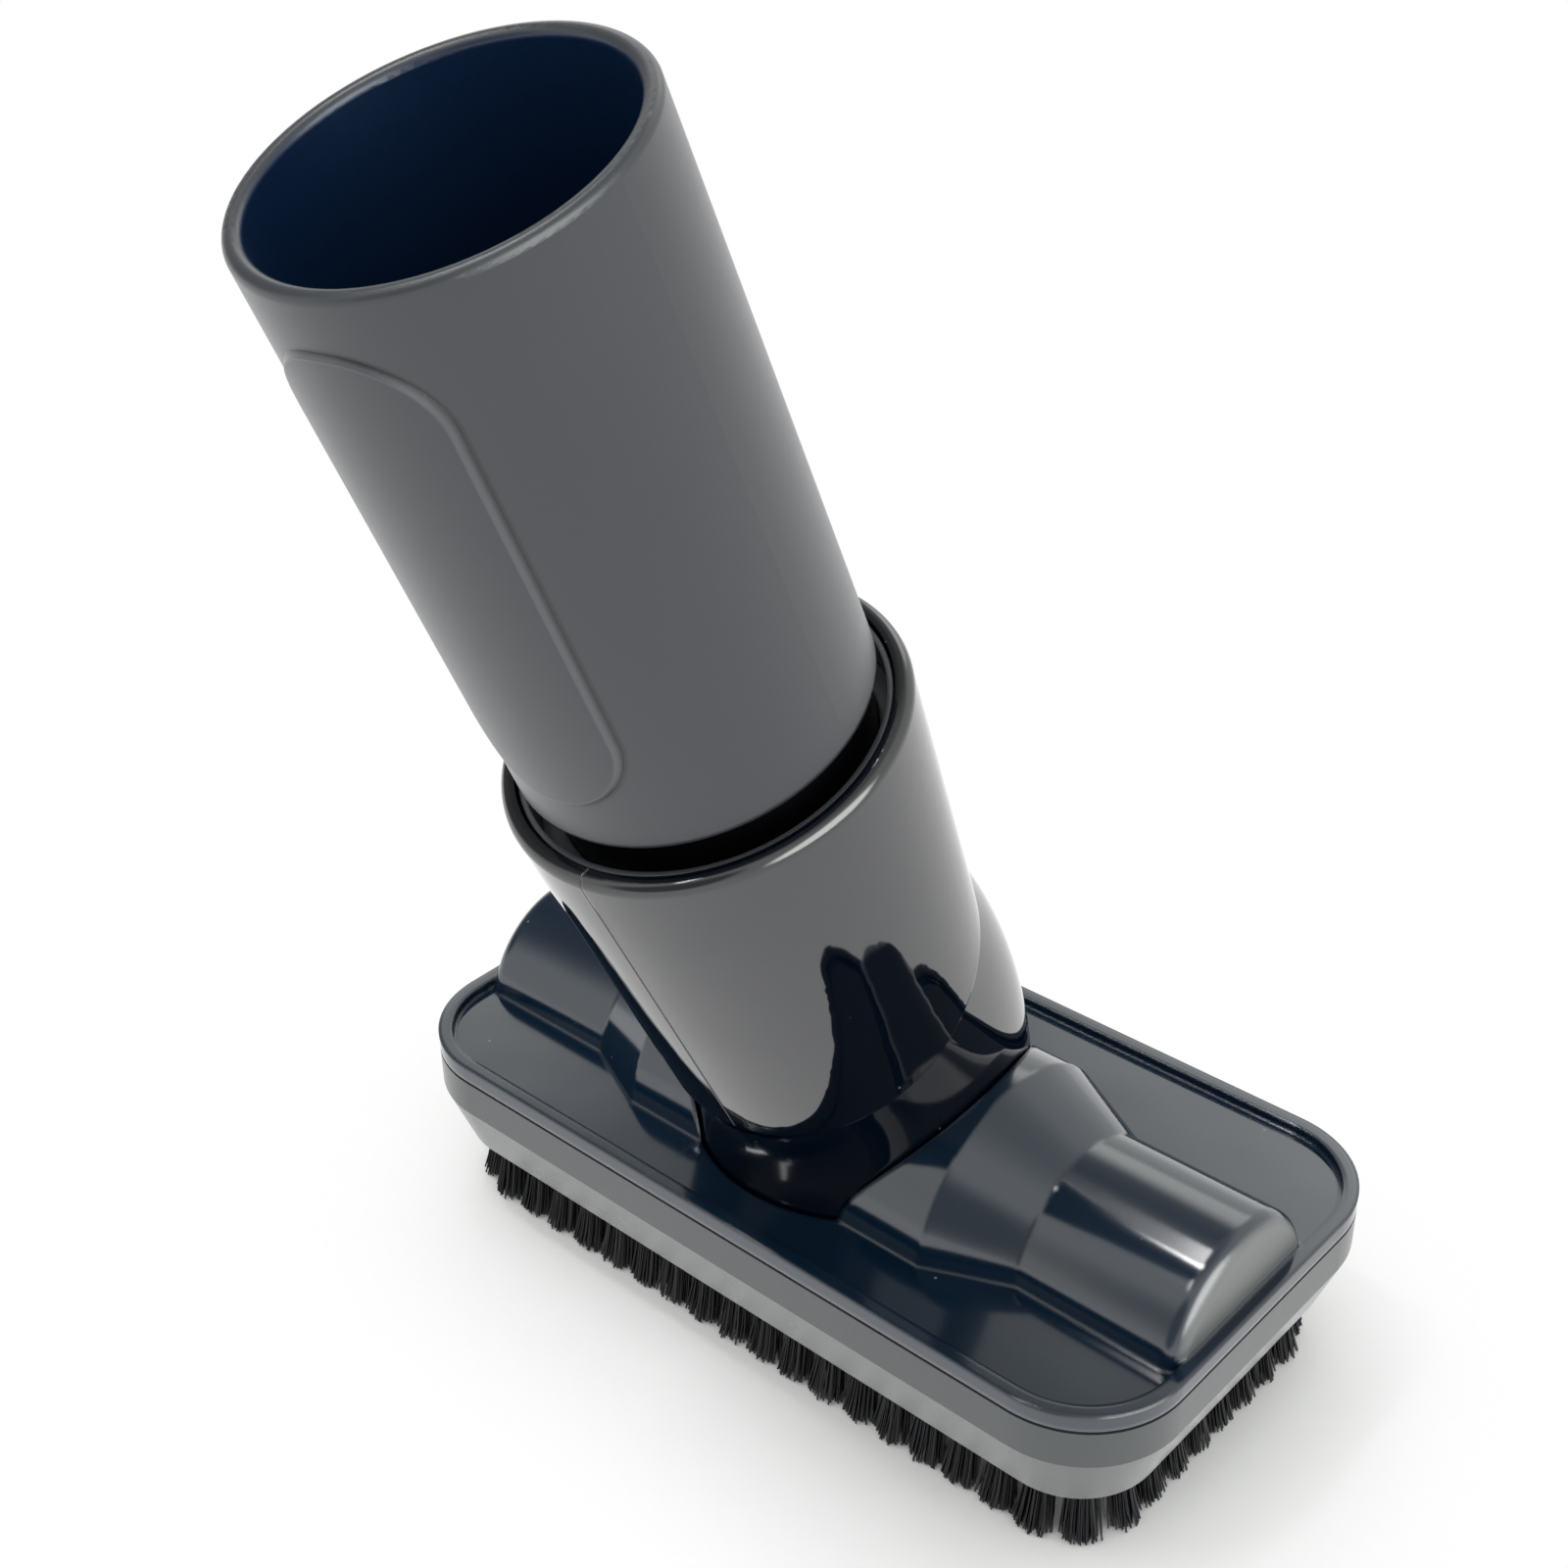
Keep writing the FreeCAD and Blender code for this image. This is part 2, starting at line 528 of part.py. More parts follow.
elbow_inner = fuse("elbow_inner", [
    bend("elbow_bore", "sizes.elbow_radius - sizes.elbow_wall"),
    cylinder("elbow_neck_bore", "sizes.elbow_radius - sizes.elbow_wall",
             "sizes.bend_height - sizes.elbow_flange_foot + sizes.part_gap",
             "sizes.elbow_flange_foot - sizes.part_gap", at_y="sizes.hump_offset")])
elbow_shell = cut("elbow_shell", elbow_outer, elbow_inner)
seam_trim = placed("seam_trim", cylinder(
    "seam_trim_disc", "sizes.elbow_radius + sizes.elbow_wall", "sizes.seam_gap",
    "-sizes.seam_gap / 2"), seam_place)
elbow_open = cut("elbow_open", elbow_shell, seam_trim)
spigot_bore = "sizes.spigot_radius - sizes.spigot_wall"
spigot_parts = placed("spigot_parts", fuse("spigot_blank", [
    tube_ring("spigot_web", "sizes.elbow_radius - sizes.elbow_wall / 2", spigot_bore,
              "sizes.elbow_wall - sizes.seam_gap / 2", "-sizes.elbow_wall"),
    tube_ring("spigot_wall", "sizes.spigot_radius", spigot_bore,
              "sizes.elbow_wall + sizes.spigot_length", "-sizes.elbow_wall")]), seam_place)
elbow_body = fuse("elbow_body", [elbow_open, spigot_parts])
seal_foot = "-sizes.seam_gap / 2 - sizes.seal_depth"
elbow_grooves = placed("elbow_grooves", compound("elbow_groove_rings", [
    tube_ring("snap_groove", "sizes.spigot_radius + sizes.snap_reach",
              "sizes.spigot_radius - sizes.snap_depth",
              "sizes.snap_height + 2 * sizes.seat_gap", "sizes.snap_foot - sizes.seat_gap"),
    tube_ring("seal_groove", "sizes.seal_inner + sizes.seal_width", "sizes.seal_inner",
              "sizes.seal_depth + sizes.part_gap", seal_foot)]), seam_place)
lower_elbow = cut("lower_elbow", elbow_body, elbow_grooves)

# Snap ring, split so that it can be spread over the spigot
snap_blank = tube_ring("snap_blank", "sizes.spigot_radius + sizes.snap_reach",
                       "sizes.spigot_radius - sizes.snap_depth + sizes.seat_gap",
                       "sizes.snap_height", "sizes.snap_foot")
snap_split = doc.addObject("Part::Box", "snap_split")
snap_split.setExpression("Length", "2 * sizes.snap_height")
snap_split.setExpression("Width", "2 * sizes.spigot_radius")
snap_split.setExpression("Height", "3 * sizes.snap_height")
snap_split.setExpression("Placement.Base.x", "-sizes.snap_height")
snap_split.setExpression("Placement.Base.z", "sizes.snap_foot - sizes.snap_height")
oblique_snap_ring = cut("oblique_snap_ring", snap_blank, snap_split)
oblique_snap_ring.Placement = seam_place

oblique_seal_ring = tube_ring(
    "oblique_seal_ring", "sizes.seal_inner + sizes.seal_width - sizes.seat_gap",
    "sizes.seal_inner + sizes.seat_gap", "sizes.seal_depth + sizes.seat_gap",
    seal_foot + " + sizes.seat_gap")
oblique_seal_ring.Placement = seam_place

# Keeper plate that clamps the elbow's flange against the cover
keeper_plate = rounded_block(
    "keeper_plate", "sizes.keeper_top - sizes.keeper_height", "sizes.keeper_height",
    "sizes.keeper_length", "sizes.keeper_width", "2 * sizes.post_radius")
keeper_holes = [cylinder(
    "keeper_air_hole", "sizes.elbow_radius - sizes.elbow_wall",
    "3 * sizes.keeper_height", "sizes.keeper_top - 2 * sizes.keeper_height",
    at_y="sizes.hump_offset")]
keeper_screw_pieces = []
carrier_screw_pieces = []
carrier_holes = []
for index, (sx, sy) in enumerate(((-1, -1), (1, -1), (-1, 1), (1, 1)), start=1):
    keeper_x = "%d * sizes.keeper_screw_x" % sx
    keeper_y = "%d * sizes.keeper_screw_y" % sy
    post_x = "%d * sizes.post_x" % sx
    post_y = "%d * sizes.post_y" % sy
    keeper_holes.append(cylinder(
        "keeper_hole_%d" % index, "sizes.screw_radius + sizes.part_gap",
        "3 * sizes.keeper_height", "sizes.keeper_top - 2 * sizes.keeper_height",
        keeper_x, keeper_y))
    carrier_holes.append(cylinder(
        "carrier_hole_%d" % index, "sizes.screw_radius + sizes.part_gap",
        "3 * sizes.carrier_height", "sizes.skirt_foot - sizes.carrier_height", post_x, post_y))
    keeper_screw_pieces.append(screw(
        "keeper_screw_%d" % index, "sizes.keeper_screw_length",
        "sizes.keeper_top - sizes.keeper_height", keeper_x, keeper_y))
    carrier_screw_pieces.append(screw(
        "carrier_screw_%d" % index, "sizes.carrier_screw_length", "sizes.skirt_foot",
        post_x, post_y))
elbow_keeper = cut("elbow_keeper", keeper_plate, fuse("keeper_hollow", keeper_holes))
keeper_screws = compound("keeper_screws", keeper_screw_pieces)
carrier_screws = compound("carrier_screws", carrier_screw_pieces)

# Collar: skewed cone between the oblique seam and the level ring plane, in two halves
up = Vector(0, 0, 1)
wedge_turn = Rotation(Vector(1, 0, 0), size("sizes.wedge"))


def seam_circle(name, radius, above):
    """Circle parallel to the seam, that far above it."""
    circle = doc.addObject("Part::Circle", name)
    circle.setExpression("Radius", radius)
    circle.Placement = Placement(wedge_turn.multVec(up * size(above)), wedge_turn)
    return circle


def level_circle(name, radius, height):
    """Level circle on the collar's axis."""
    circle = doc.addObject("Part::Circle", name)
    circle.setExpression("Radius", radius)
    circle.setExpression("Placement.Base.z", height)
    return circle


def skew_cone(name, low, high):
    """Straight-sided solid between two circles."""
    loft = doc.addObject("Part::Loft", name)
    loft.Sections = [low, high]
    loft.Solid = True
    loft.Ruled = True
    return loft


lip_foot = "sizes.collar_length - sizes.collar_lip_round"
collar_cone = skew_cone(
    "collar_cone", seam_circle("seam_outline", "sizes.seam_radius", "sizes.seam_gap / 2"),
    level_circle("ring_outline", "sizes.collar_radius", lip_foot))
lip_disc = cylinder("lip_disc", "sizes.collar_radius", "sizes.collar_lip_round", lip_foot)
collar_lip = part_round("collar_lip", lip_disc, [
    (ring_at("sizes.collar_length", "sizes.collar_radius"),
     "sizes.collar_lip_round - sizes.seat_gap")])
collar_solid = fuse("collar_solid", [collar_cone, collar_lip])
collar_cavity = skew_cone(
    "collar_cavity",
    seam_circle("cavity_foot", "sizes.seam_radius - sizes.collar_wall",
                "sizes.seam_gap / 2 + sizes.seam_ledge"),
    level_circle("cavity_top", "sizes.collar_radius - sizes.collar_wall - sizes.part_gap",
                 "sizes.cavity_top"))
seam_bore = placed("seam_bore", cylinder(
    "seam_bore_bar", "sizes.ledge_bore", "2 * sizes.seam_ledge + sizes.seam_gap",
    "-sizes.seam_ledge / 2"), Placement(Vector(0, 0, 0), wedge_turn))
collar_hollow = fuse("collar_hollow", [
    collar_cavity, seam_bore,
    cylinder("collar_ledge_bore", "sizes.swivel_bore", "sizes.collar_ledge + 2 * sizes.part_gap",
             "sizes.cavity_top - sizes.part_gap"),
    cylinder("flange_chamber", "sizes.room_radius", "sizes.flange_room + sizes.part_gap",
             "sizes.room_foot"),
    cylinder("mouth_chamber", "sizes.mouth_radius", "sizes.mouth_depth + sizes.part_gap",
             "sizes.collar_length - sizes.mouth_depth")])
collar_whole = cut("collar_whole", collar_solid, collar_hollow)


def collar_half(name, side):
    """The collar on one side of its parting plane."""
    box = doc.addObject("Part::Box", name + "_side")
    box.setExpression("Length", "2 * sizes.collar_radius")
    box.setExpression("Width", "4 * sizes.collar_radius")
    box.setExpression("Height", "2 * sizes.collar_length")
    box.setExpression("Placement.Base.x",
                      "%d * sizes.half_gap / 2 - %d * sizes.collar_radius" % (side, 1 - side))
    box.setExpression("Placement.Base.y", "-2 * sizes.collar_radius")
    box.setExpression("Placement.Base.z", "-sizes.collar_length / 2")
    half = common(name, collar_whole, box)
    half.Placement = collar_place
    return half


collar_left_half = collar_half("collar_left_half", -1)
collar_right_half = collar_half("collar_right_half", 1)

# Retainer in the collar's mouth; its web holds the tube's flange down
collar_retainer = fuse("collar_retainer", [
    tube_ring("retainer_rim", "sizes.retainer_radius",
              "sizes.retainer_radius - sizes.retainer_wall",
              "sizes.collar_length - sizes.retainer_drop - sizes.retainer_foot",
              "sizes.retainer_foot"),
    tube_ring("retainer_floor", "sizes.retainer_radius", "sizes.swivel_bore",
              "sizes.retainer_web", "sizes.retainer_foot")])
collar_retainer.Placement = collar_place

tube_seal_ring = tube_ring(
    "tube_seal_ring", "sizes.room_radius - sizes.part_gap", "sizes.neck_radius + sizes.part_gap",
    "sizes.ring_height", "sizes.room_foot + sizes.seat_gap")
tube_seal_ring.Placement = collar_place

# Hose tube: bore with a hose stop, rolled lip, swivel neck with its flange, two bare raised panels
stop_height = "sizes.shoulder_height + sizes.hose_stop"
tube_bar = cylinder("tube_bar", "sizes.tube_radius",
                    "sizes.mouth_height - sizes.shoulder_height", "sizes.shoulder_height")
tube_bore = cylinder("tube_bore", "sizes.tube_bore",
                     "sizes.mouth_height - (" + stop_height + ") + sizes.part_gap", stop_height)
tube_blank = cut("tube_blank", tube_bar, tube_bore)
tube_soft = part_round("tube_soft", tube_blank, [
    (ring_at("sizes.mouth_height", "sizes.tube_radius"), "sizes.lip_round"),
    (ring_at("sizes.mouth_height", "sizes.tube_bore"), "sizes.lip_round"),
    (ring_at("sizes.shoulder_height", "sizes.tube_radius"), "sizes.shoulder_round")])
panel_body = doc.addObject("PartDesign::Body", "panel_bar")
panel_plan = rounded_sketch(
    panel_body, "panel_plan", "XZ_Plane", "-2 * sizes.tube_radius", "sizes.panel_width",
    "sizes.panel_length", "sizes.panel_corner",
    "sizes.mouth_height - sizes.panel_top - sizes.panel_length / 2")
panel_pad = panel_body.newObject("PartDesign::Pad", "panel_pad")
panel_pad.Profile = panel_plan
panel_pad.setExpression("Length", "4 * sizes.tube_radius")
panel_body.Tip = panel_pad
panel_skin = tube_ring(
    "panel_skin", "sizes.tube_radius + sizes.panel_raise",
    "(sizes.tube_radius + sizes.tube_bore) / 2",
    "sizes.mouth_height - sizes.shoulder_height", "sizes.shoulder_height")
panels = common("panels", panel_body, panel_skin)
doc.recompute()
outside = size("sizes.tube_radius + sizes.panel_raise")
panel_edges = []
for index, edge in enumerate(panels.Shape.Edges, start=1):
    spots = edge.discretize(5)
    if all(abs(math.hypot(spot.x, spot.y) - outside) < 0.01 for spot in spots):
        panel_edges.append((index, size("sizes.panel_raise - 0.02"), size("sizes.panel_slant")))
panel_soft = doc.addObject("Part::Chamfer", "panel_soft")
panel_soft.Base = panels
panel_soft.Edges = panel_edges
neck_foot = "sizes.flange_foot - sizes.neck_tail"
tube_solid = fuse("tube_solid", [
    tube_soft, panel_soft,
    cylinder("swivel_neck", "sizes.neck_radius",
             "sizes.shoulder_height + sizes.shoulder_round - (" + neck_foot + ")", neck_foot),
    cylinder("tube_flange", "sizes.flange_radius", "sizes.flange_height", "sizes.flange_foot")])
neck_tube = cut("neck_tube", tube_solid, cylinder(
    "neck_bore", "sizes.neck_bore", stop_height + " - (" + neck_foot + ") + 2 * sizes.part_gap",
    neck_foot + " - sizes.part_gap"))
neck_tube.Placement = collar_place

# Tufts: flared bundles whose roots sit in blind holes of the carrier
half_x = size("sizes.head_length / 2")
half_y = size("sizes.head_width / 2")
corner = size("sizes.corner_radius")
inset = size("sizes.tuft_inset")


def spaced(length):
    """Even spacing along one straight side, ends included."""
    count = max(2, round(length / size("sizes.tuft_pitch")) + 1)
    return [length * index / (count - 1) - length / 2 for index in range(count)]


def tuft_spots():
    """Root centre and outward direction of every tuft, by row."""
    rows = {"tufts_near": [], "tufts_far": [], "tufts_left": [], "tufts_right": []}
    for x in spaced(2 * (half_x - corner)):
        rows["tufts_near"].append((Vector(x, inset - half_y, 0), Vector(0, -1, 0)))
        rows["tufts_far"].append((Vector(x, half_y - inset, 0), Vector(0, 1, 0)))
    for name, sx in (("tufts_left", -1), ("tufts_right", 1)):
        for y in spaced(2 * (half_y - corner)):
            rows[name].append((Vector(sx * (half_x - inset), y, 0), Vector(sx, 0, 0)))
        for sy in (-1, 1):
            out = Vector(sx, sy, 0).normalize()
            centre = Vector(sx * (half_x - corner), sy * (half_y - corner), 0)
            rows[name].append((centre + out * (corner - inset), out))
    return rows


def tuft(spot, out):
    """Flared bundle of bristles, six-sided."""
    along = Vector(-out.y, out.x, 0)
    root = size("sizes.tuft_root")
    tip = size("sizes.tuft_tip")
    across = (root + tip) / 2
    wires = []
    for height, length, width, shift in (
            (size("sizes.tuft_top"), root, root, 0),
            (size("sizes.skirt_foot"), root, root, 0),
            (0, tip, across, size("sizes.tuft_splay"))):
        centre = spot + out * shift + up * height
        ring = []
        for step in range(7):
            angle = math.radians(60 * (step % 6))
            ring.append(centre + along * (length * math.cos(angle))
                        + out * (width * math.sin(angle)))
        wires.append(Part.makePolygon(ring))
    return Part.makeLoft(wires, True, True)


tuft_rows = {}
tuft_roots = []
for name, spots in tuft_spots().items():
    row = doc.addObject("Part::Feature", name)
    row.Shape = Part.makeCompound([tuft(spot, out) for spot, out in spots])
    tuft_rows[name] = row
    for spot, out in spots:
        base = spot + up * (size("sizes.skirt_foot") - 1)
        tuft_roots.append(Part.makeCylinder(
            size("sizes.tuft_root + sizes.seat_gap"),
            1 + size("sizes.tuft_depth + sizes.seat_gap"), base))
root_holes = doc.addObject("Part::Feature", "root_holes")
root_holes.Shape = Part.makeCompound(tuft_roots)

# Carrier: frame that holds the tufts round the suction opening
carrier_inset = "(sizes.skirt_wall + sizes.skirt_inset + sizes.part_gap)"
carrier_plate = rounded_block(
    "carrier_plate", "sizes.skirt_foot", "sizes.carrier_height",
    "sizes.head_length - 2 * " + carrier_inset, "sizes.head_width - 2 * " + carrier_inset,
    "sizes.corner_radius - " + carrier_inset)
carrier_opening = rounded_block(
    "carrier_opening", "sizes.skirt_foot - sizes.part_gap",
    "sizes.carrier_height + 2 * sizes.part_gap",
    "sizes.opening_length", "sizes.opening_width", "sizes.opening_corner")
carrier_hollow = fuse("carrier_hollow", [carrier_opening] + carrier_holes)
carrier_frame = cut("carrier_frame", carrier_plate, carrier_hollow)
tuft_carrier = cut("tuft_carrier", carrier_frame, root_holes)

doc.recompute()

NODES = [
    neck_tube, tube_seal_ring, collar_left_half, collar_right_half, collar_retainer,
    lower_elbow, oblique_snap_ring, oblique_seal_ring, top_cover, elbow_keeper, keeper_screws,
    skirt_frame, tuft_carrier, carrier_screws,
] + list(tuft_rows.values())

for item in doc.Objects:
    if "Invalid" in item.State or "Error" in item.State:
        raise RuntimeError(item.Name + " did not compute")
os.makedirs("parts", exist_ok=True)
for node in NODES:
    if node.Shape.isNull() or not node.Shape.isValid() or not node.Shape.Solids:
        raise RuntimeError(node.Label + " is not a sound solid")
    node.Shape.exportStep("parts/" + node.Label + ".step")
    print(node.Label, len(node.Shape.Solids), round(node.Shape.Volume, 1))
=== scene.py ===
import bpy
import math
from mathutils import Matrix, Vector


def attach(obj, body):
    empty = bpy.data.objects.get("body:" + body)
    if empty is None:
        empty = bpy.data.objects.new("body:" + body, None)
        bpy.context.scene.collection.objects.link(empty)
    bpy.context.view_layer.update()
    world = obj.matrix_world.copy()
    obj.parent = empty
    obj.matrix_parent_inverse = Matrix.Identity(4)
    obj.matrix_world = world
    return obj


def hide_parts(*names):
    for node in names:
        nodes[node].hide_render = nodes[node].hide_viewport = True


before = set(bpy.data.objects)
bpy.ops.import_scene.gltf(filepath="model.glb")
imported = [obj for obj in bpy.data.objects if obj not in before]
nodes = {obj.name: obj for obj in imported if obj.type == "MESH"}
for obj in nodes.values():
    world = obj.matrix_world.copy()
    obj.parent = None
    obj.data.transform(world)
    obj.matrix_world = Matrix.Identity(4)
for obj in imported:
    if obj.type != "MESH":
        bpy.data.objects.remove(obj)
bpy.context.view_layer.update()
scene = bpy.context.scene
scene.view_settings.view_transform = "Standard"

# Camera: it stands in front and to the right of the head, 31 degrees above the table, and looks down
# at the brush along the line that the photograph was taken on.
camera_data = bpy.data.cameras.new("viewpoint")
camera_data.sensor_width = 36.0
camera_data.lens = 52.49
camera_data.shift_x = 0.0119
camera_data.shift_y = -0.0026
camera_data.clip_start = 0.01
camera = bpy.data.objects.new("viewpoint", camera_data)
camera.matrix_world = Matrix((
    (0.743423, -0.328731, 0.582459, 0.14106),
    (0.668471, 0.393421, -0.631164, -0.17118),
    (-0.021668, 0.858578, 0.512225, 0.20146),
    (0.0, 0.0, 0.0, 1.0),
))
scene.collection.objects.link(camera)
scene.camera = camera


# Room: a white table that keeps the brush's soft shadow, and white walls all round that show in the
# glossy plastic. A window brightens the right side; the ceiling and two walls are in shade.
def linked(tree, source, target):
    """Feed a node's input from another socket, or set it to a plain value."""
    if isinstance(source, bpy.types.NodeSocket):
        tree.links.new(source, target)
    else:
        target.default_value = source


def sums(tree, operation, first, second=0.0, third=0.0):
    """One step of arithmetic in a node tree."""
    step = tree.nodes.new("ShaderNodeMath")
    step.operation = operation
    for value, socket in zip((first, second, third), step.inputs):
        linked(tree, value, socket)
    return step.outputs["Value"]


def vectors(tree, operation, first, second=(0.0, 0.0, 0.0)):
    """One step of vector arithmetic; a length and a dot product come out as one number."""
    step = tree.nodes.new("ShaderNodeVectorMath")
    step.operation = operation
    linked(tree, first, step.inputs[0])
    linked(tree, second, step.inputs["Scale" if operation == "SCALE" else 1])
    return step.outputs["Value" if operation in ("LENGTH", "DOT_PRODUCT") else "Vector"]


def ranged(tree, value, start, end, low=0.0, high=1.0, curve="LINEAR"):
    """Turn a number's range from start to end into the range from low to high."""
    step = tree.nodes.new("ShaderNodeMapRange")
    step.interpolation_type = curve
    labels = ("Value", "From Min", "From Max", "To Min", "To Max")
    for label, part in zip(labels, (value, start, end, low, high)):
        linked(tree, part, step.inputs[label])
    return step.outputs["Result"]


def blended(tree, factor, first, second):
    """Mix two numbers."""
    step = tree.nodes.new("ShaderNodeMix")
    for label, part in (("Factor", factor), ("A", first), ("B", second)):
        linked(tree, part, step.inputs[label])
    return step.outputs["Result"]


def object_place(tree):
    """Where a point lies on the piece, in metres."""
    return tree.nodes.new("ShaderNodeTexCoord").outputs["Object"]


def noise(tree, place, per_metre, detail=2.0):
    """Clouded pattern, with its patches counted for each metre."""
    pattern = tree.nodes.new("ShaderNodeTexNoise")
    pattern.inputs["Detail"].default_value = detail
    linked(tree, place, pattern.inputs["Vector"])
    linked(tree, per_metre, pattern.inputs["Scale"])
    return pattern.outputs["Fac"]


table_half = 3.0
table_mesh = bpy.data.meshes.new("table_top")
table_mesh.from_pydata(
    [(-table_half, -table_half, 0.0), (table_half, -table_half, 0.0),
     (table_half, table_half, 0.0), (-table_half, table_half, 0.0)], [], [(0, 1, 2, 3)])
table_top = bpy.data.objects.new("table_top", table_mesh)
scene.collection.objects.link(table_top)
table_paint = bpy.data.materials.new("white_table")
table_paint.use_nodes = True
tree = table_paint.node_tree
shader = tree.nodes["Principled BSDF"]
shader.inputs["Roughness"].default_value = 0.9
shader.inputs["Specular IOR Level"].default_value = 0.0
fibre = noise(tree, object_place(tree), 300.0)
linked(tree, ranged(tree, fibre, 0.0, 1.0, 0.93, 0.97), shader.inputs["Base Color"])
seen_white = 1.0
mirrored_white = 1.2
ray = tree.nodes.new("ShaderNodeLightPath")
glow = tree.nodes.new("ShaderNodeEmission")
linked(tree, ranged(tree, ray.outputs["Is Glossy Ray"], 0.0, 1.0, seen_white, mirrored_white),
       glow.inputs["Strength"])
shadow_reach = 0.03
shadow_depth = 2.5
open_sky = tree.nodes.new("ShaderNodeAmbientOcclusion")
open_sky.samples = 4
open_sky.inputs["Distance"].default_value = shadow_reach
openness = sums(tree, "POWER", open_sky.outputs["AO"], shadow_depth)
seen = sums(tree, "MULTIPLY", ray.outputs["Is Camera Ray"], openness)
blend = tree.nodes.new("ShaderNodeMixShader")
linked(tree, sums(tree, "MAXIMUM", seen, ray.outputs["Is Glossy Ray"]), blend.inputs["Fac"])
linked(tree, shader.outputs["BSDF"], blend.inputs[1])
linked(tree, glow.outputs["Emission"], blend.inputs[2])
linked(tree, blend.outputs["Shader"], tree.nodes["Material Output"].inputs["Surface"])
table_mesh.materials.append(table_paint)

world = bpy.data.worlds.new("white_room")
scene.world = world
world.use_nodes = True
tree = world.node_tree
backdrop = tree.nodes["Background"]
backdrop.inputs["Color"].default_value = (0.98, 1.0, 0.965, 1.0)
place = tree.nodes.new("ShaderNodeTexCoord")


def wall(toward, start, end, low, high):
    """Brightness that goes from low to high as a ray turns to that side of the room."""
    along = vectors(tree, "DOT_PRODUCT", place.outputs["Generated"], Vector(toward).normalized())
    return ranged(tree, along, start, end, low, high, "SMOOTHSTEP")


ray = tree.nodes.new("ShaderNodeLightPath")
window_side = (0.9, -0.1, 0.24)
plain_walls = wall(window_side, 0.82, 0.92, 0.85, 1.6)
bright_window = wall(window_side, 0.82, 0.92, 1.05, 6.0)
bright_corner = wall((-0.7, 0.5, 0.48), 0.975, 0.995, 1.0, 2.2)
bright_back = wall((-0.3, 0.78, 0.55), 0.96, 0.99, 1.0, 2.0)
shaded_left = wall((-0.85, -0.1, 0.5), 0.8, 0.93, 1.0, 0.2)
shaded_front = wall((0.05, -0.92, 0.38), 0.85, 0.95, 1.0, 0.3)
shaded_ceiling = wall((-0.2, 0.1, 0.97), 0.72, 0.95, 1.0, 0.5)
shaded_beam = wall((-0.5, 0.46, 0.73), 0.93, 0.985, 1.0, 0.55)
second_mirror = ranged(tree, ray.outputs["Glossy Depth"], 1.0, 2.0, 1.0, 0.35)
mirrored = bright_window
for part in (bright_corner, bright_back, shaded_left, shaded_front, shaded_ceiling,
             shaded_beam, second_mirror):
    mirrored = sums(tree, "MULTIPLY", mirrored, part)
brightness = blended(tree, ray.outputs["Is Glossy Ray"], plain_walls, mirrored)
linked(tree, blended(tree, ray.outputs["Is Camera Ray"], brightness, seen_white),
       backdrop.inputs["Strength"])


def ceiling_tube(name, spot, along_x, along_y, watts):
    """Long soft lamp under the ceiling; it shines straight down."""
    data = bpy.data.lights.new(name, "AREA")
    data.shape = "RECTANGLE"
    data.size = along_x
    data.size_y = along_y
    data.energy = watts
    lamp = bpy.data.objects.new(name, data)
    lamp.location = spot
    scene.collection.objects.link(lamp)


ceiling_tube("tube_lengthwise", (-0.31, -0.16, 0.86), 0.42, 0.05, 1.2)
ceiling_tube("tube_crosswise", (-0.24, -0.22, 0.84), 0.05, 0.7, 1.2)


# Hose tube: injection-moulded ABS with a fine satin spark texture, a polished dark bore and two bare
# raised panels, each with a painted highlight along its edge and painted shade at its foot. The neck in
# the gap under the shoulder is painted near black as shade. It turns in the collar on its flange.
def tinted(tree, factor, first, second):
    """Mix two colours; the node's colour sockets are told apart by number only."""
    step = tree.nodes.new("ShaderNodeMix")
    step.data_type = "RGBA"
    for value, number in ((factor, 0), (first, 6), (second, 7)):
        linked(tree, value, step.inputs[number])
    return step.outputs[2]


def effect(name, takes):
    """Start a shader node group that puts out a colour, a roughness and a height."""
    group = bpy.data.node_groups.new(name, "ShaderNodeTree")
    gives = (("Color", "NodeSocketColor"), ("Roughness", "NodeSocketFloat"),
             ("Height", "NodeSocketFloat"))
    for in_out, sockets in (("INPUT", takes), ("OUTPUT", gives)):
        for label, kind in sockets:
            group.interface.new_socket(label, in_out=in_out, socket_type=kind)
    return group, group.nodes.new("NodeGroupInput"), group.nodes.new("NodeGroupOutput")


def coated(name, group, values, depth):
    """New material that a shader group finishes; depth is its relief's height in metres."""
    material = bpy.data.materials.new(name)
    material.use_nodes = True
    tree = material.node_tree
    shader = tree.nodes["Principled BSDF"]
    placed = tree.nodes.new("ShaderNodeGroup")
    placed.node_tree = group
    for label, value in values.items():
        placed.inputs[label].default_value = value
    bump = tree.nodes.new("ShaderNodeBump")
    bump.inputs["Distance"].default_value = depth
    linked(tree, placed.outputs["Color"], shader.inputs["Base Color"])
    linked(tree, placed.outputs["Roughness"], shader.inputs["Roughness"])
    linked(tree, placed.outputs["Height"], bump.inputs["Height"])
    linked(tree, bump.outputs["Normal"], shader.inputs["Normal"])
    return material


